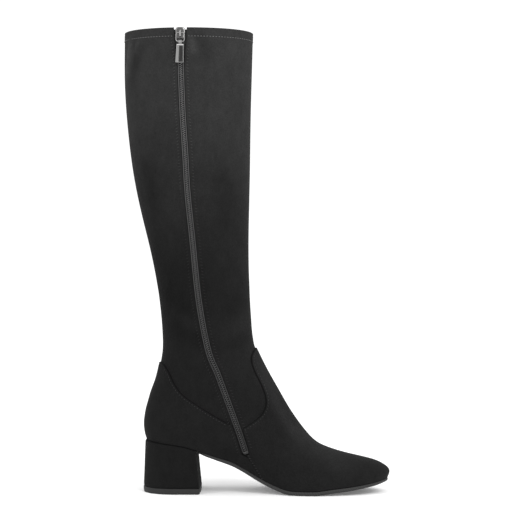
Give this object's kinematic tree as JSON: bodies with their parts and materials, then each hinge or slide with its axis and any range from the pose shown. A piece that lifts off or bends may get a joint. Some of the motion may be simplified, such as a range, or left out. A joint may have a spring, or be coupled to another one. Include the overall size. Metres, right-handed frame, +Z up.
{
  "type": "knee-high boot",
  "caption": "Left knee-high boot with an inner side zip, laid-on vamp and heel panels, a covered block heel and a thin sole.",
  "frame": {"origin": "centre of the boot's box on the floor plane", "axes": "+Z up, +X from heel to toe, +Y to the outer side of the foot, so the zip faces -Y"},
  "size_m": [0.264, 0.0954, 0.4563],
  "materials": {
    "suede": "matte charcoal stretch suede",
    "heel_cover": "matte dark suede cover",
    "sole": "satin dark grey sole edge",
    "lift": "matte dark grey rubber",
    "lining": "matte black textile",
    "tape": "woven black tape",
    "teeth": "dark grey coil",
    "metal": "dark polished metal"
  },
  "bodies": {
    "boot": {"upper": "suede", "vamp": "suede", "quarter": "suede", "insole": "lining", "outsole": "sole", "heel_block": "heel_cover", "top_lift": "lift", "zip_tape": "tape", "zip_chain": "teeth", "zip_slider": "metal"},
    "ring": {"zip_ring": "metal"},
    "tab": {"zip_tab": "metal"}
  },
  "joints": [
    {"name": "ring_swing", "type": "hinge", "parent": "boot", "child": "ring", "pos_m": [-0.0743, -0.04575, 0.45055], "axis": [-1, 0, 0], "range_deg": [0, 150]},
    {"name": "tab_swing", "type": "hinge", "parent": "ring", "child": "tab", "pos_m": [-0.0743, -0.04575, 0.44205], "axis": [-1, 0, 0], "range_deg": [0, 95]}
  ]
}
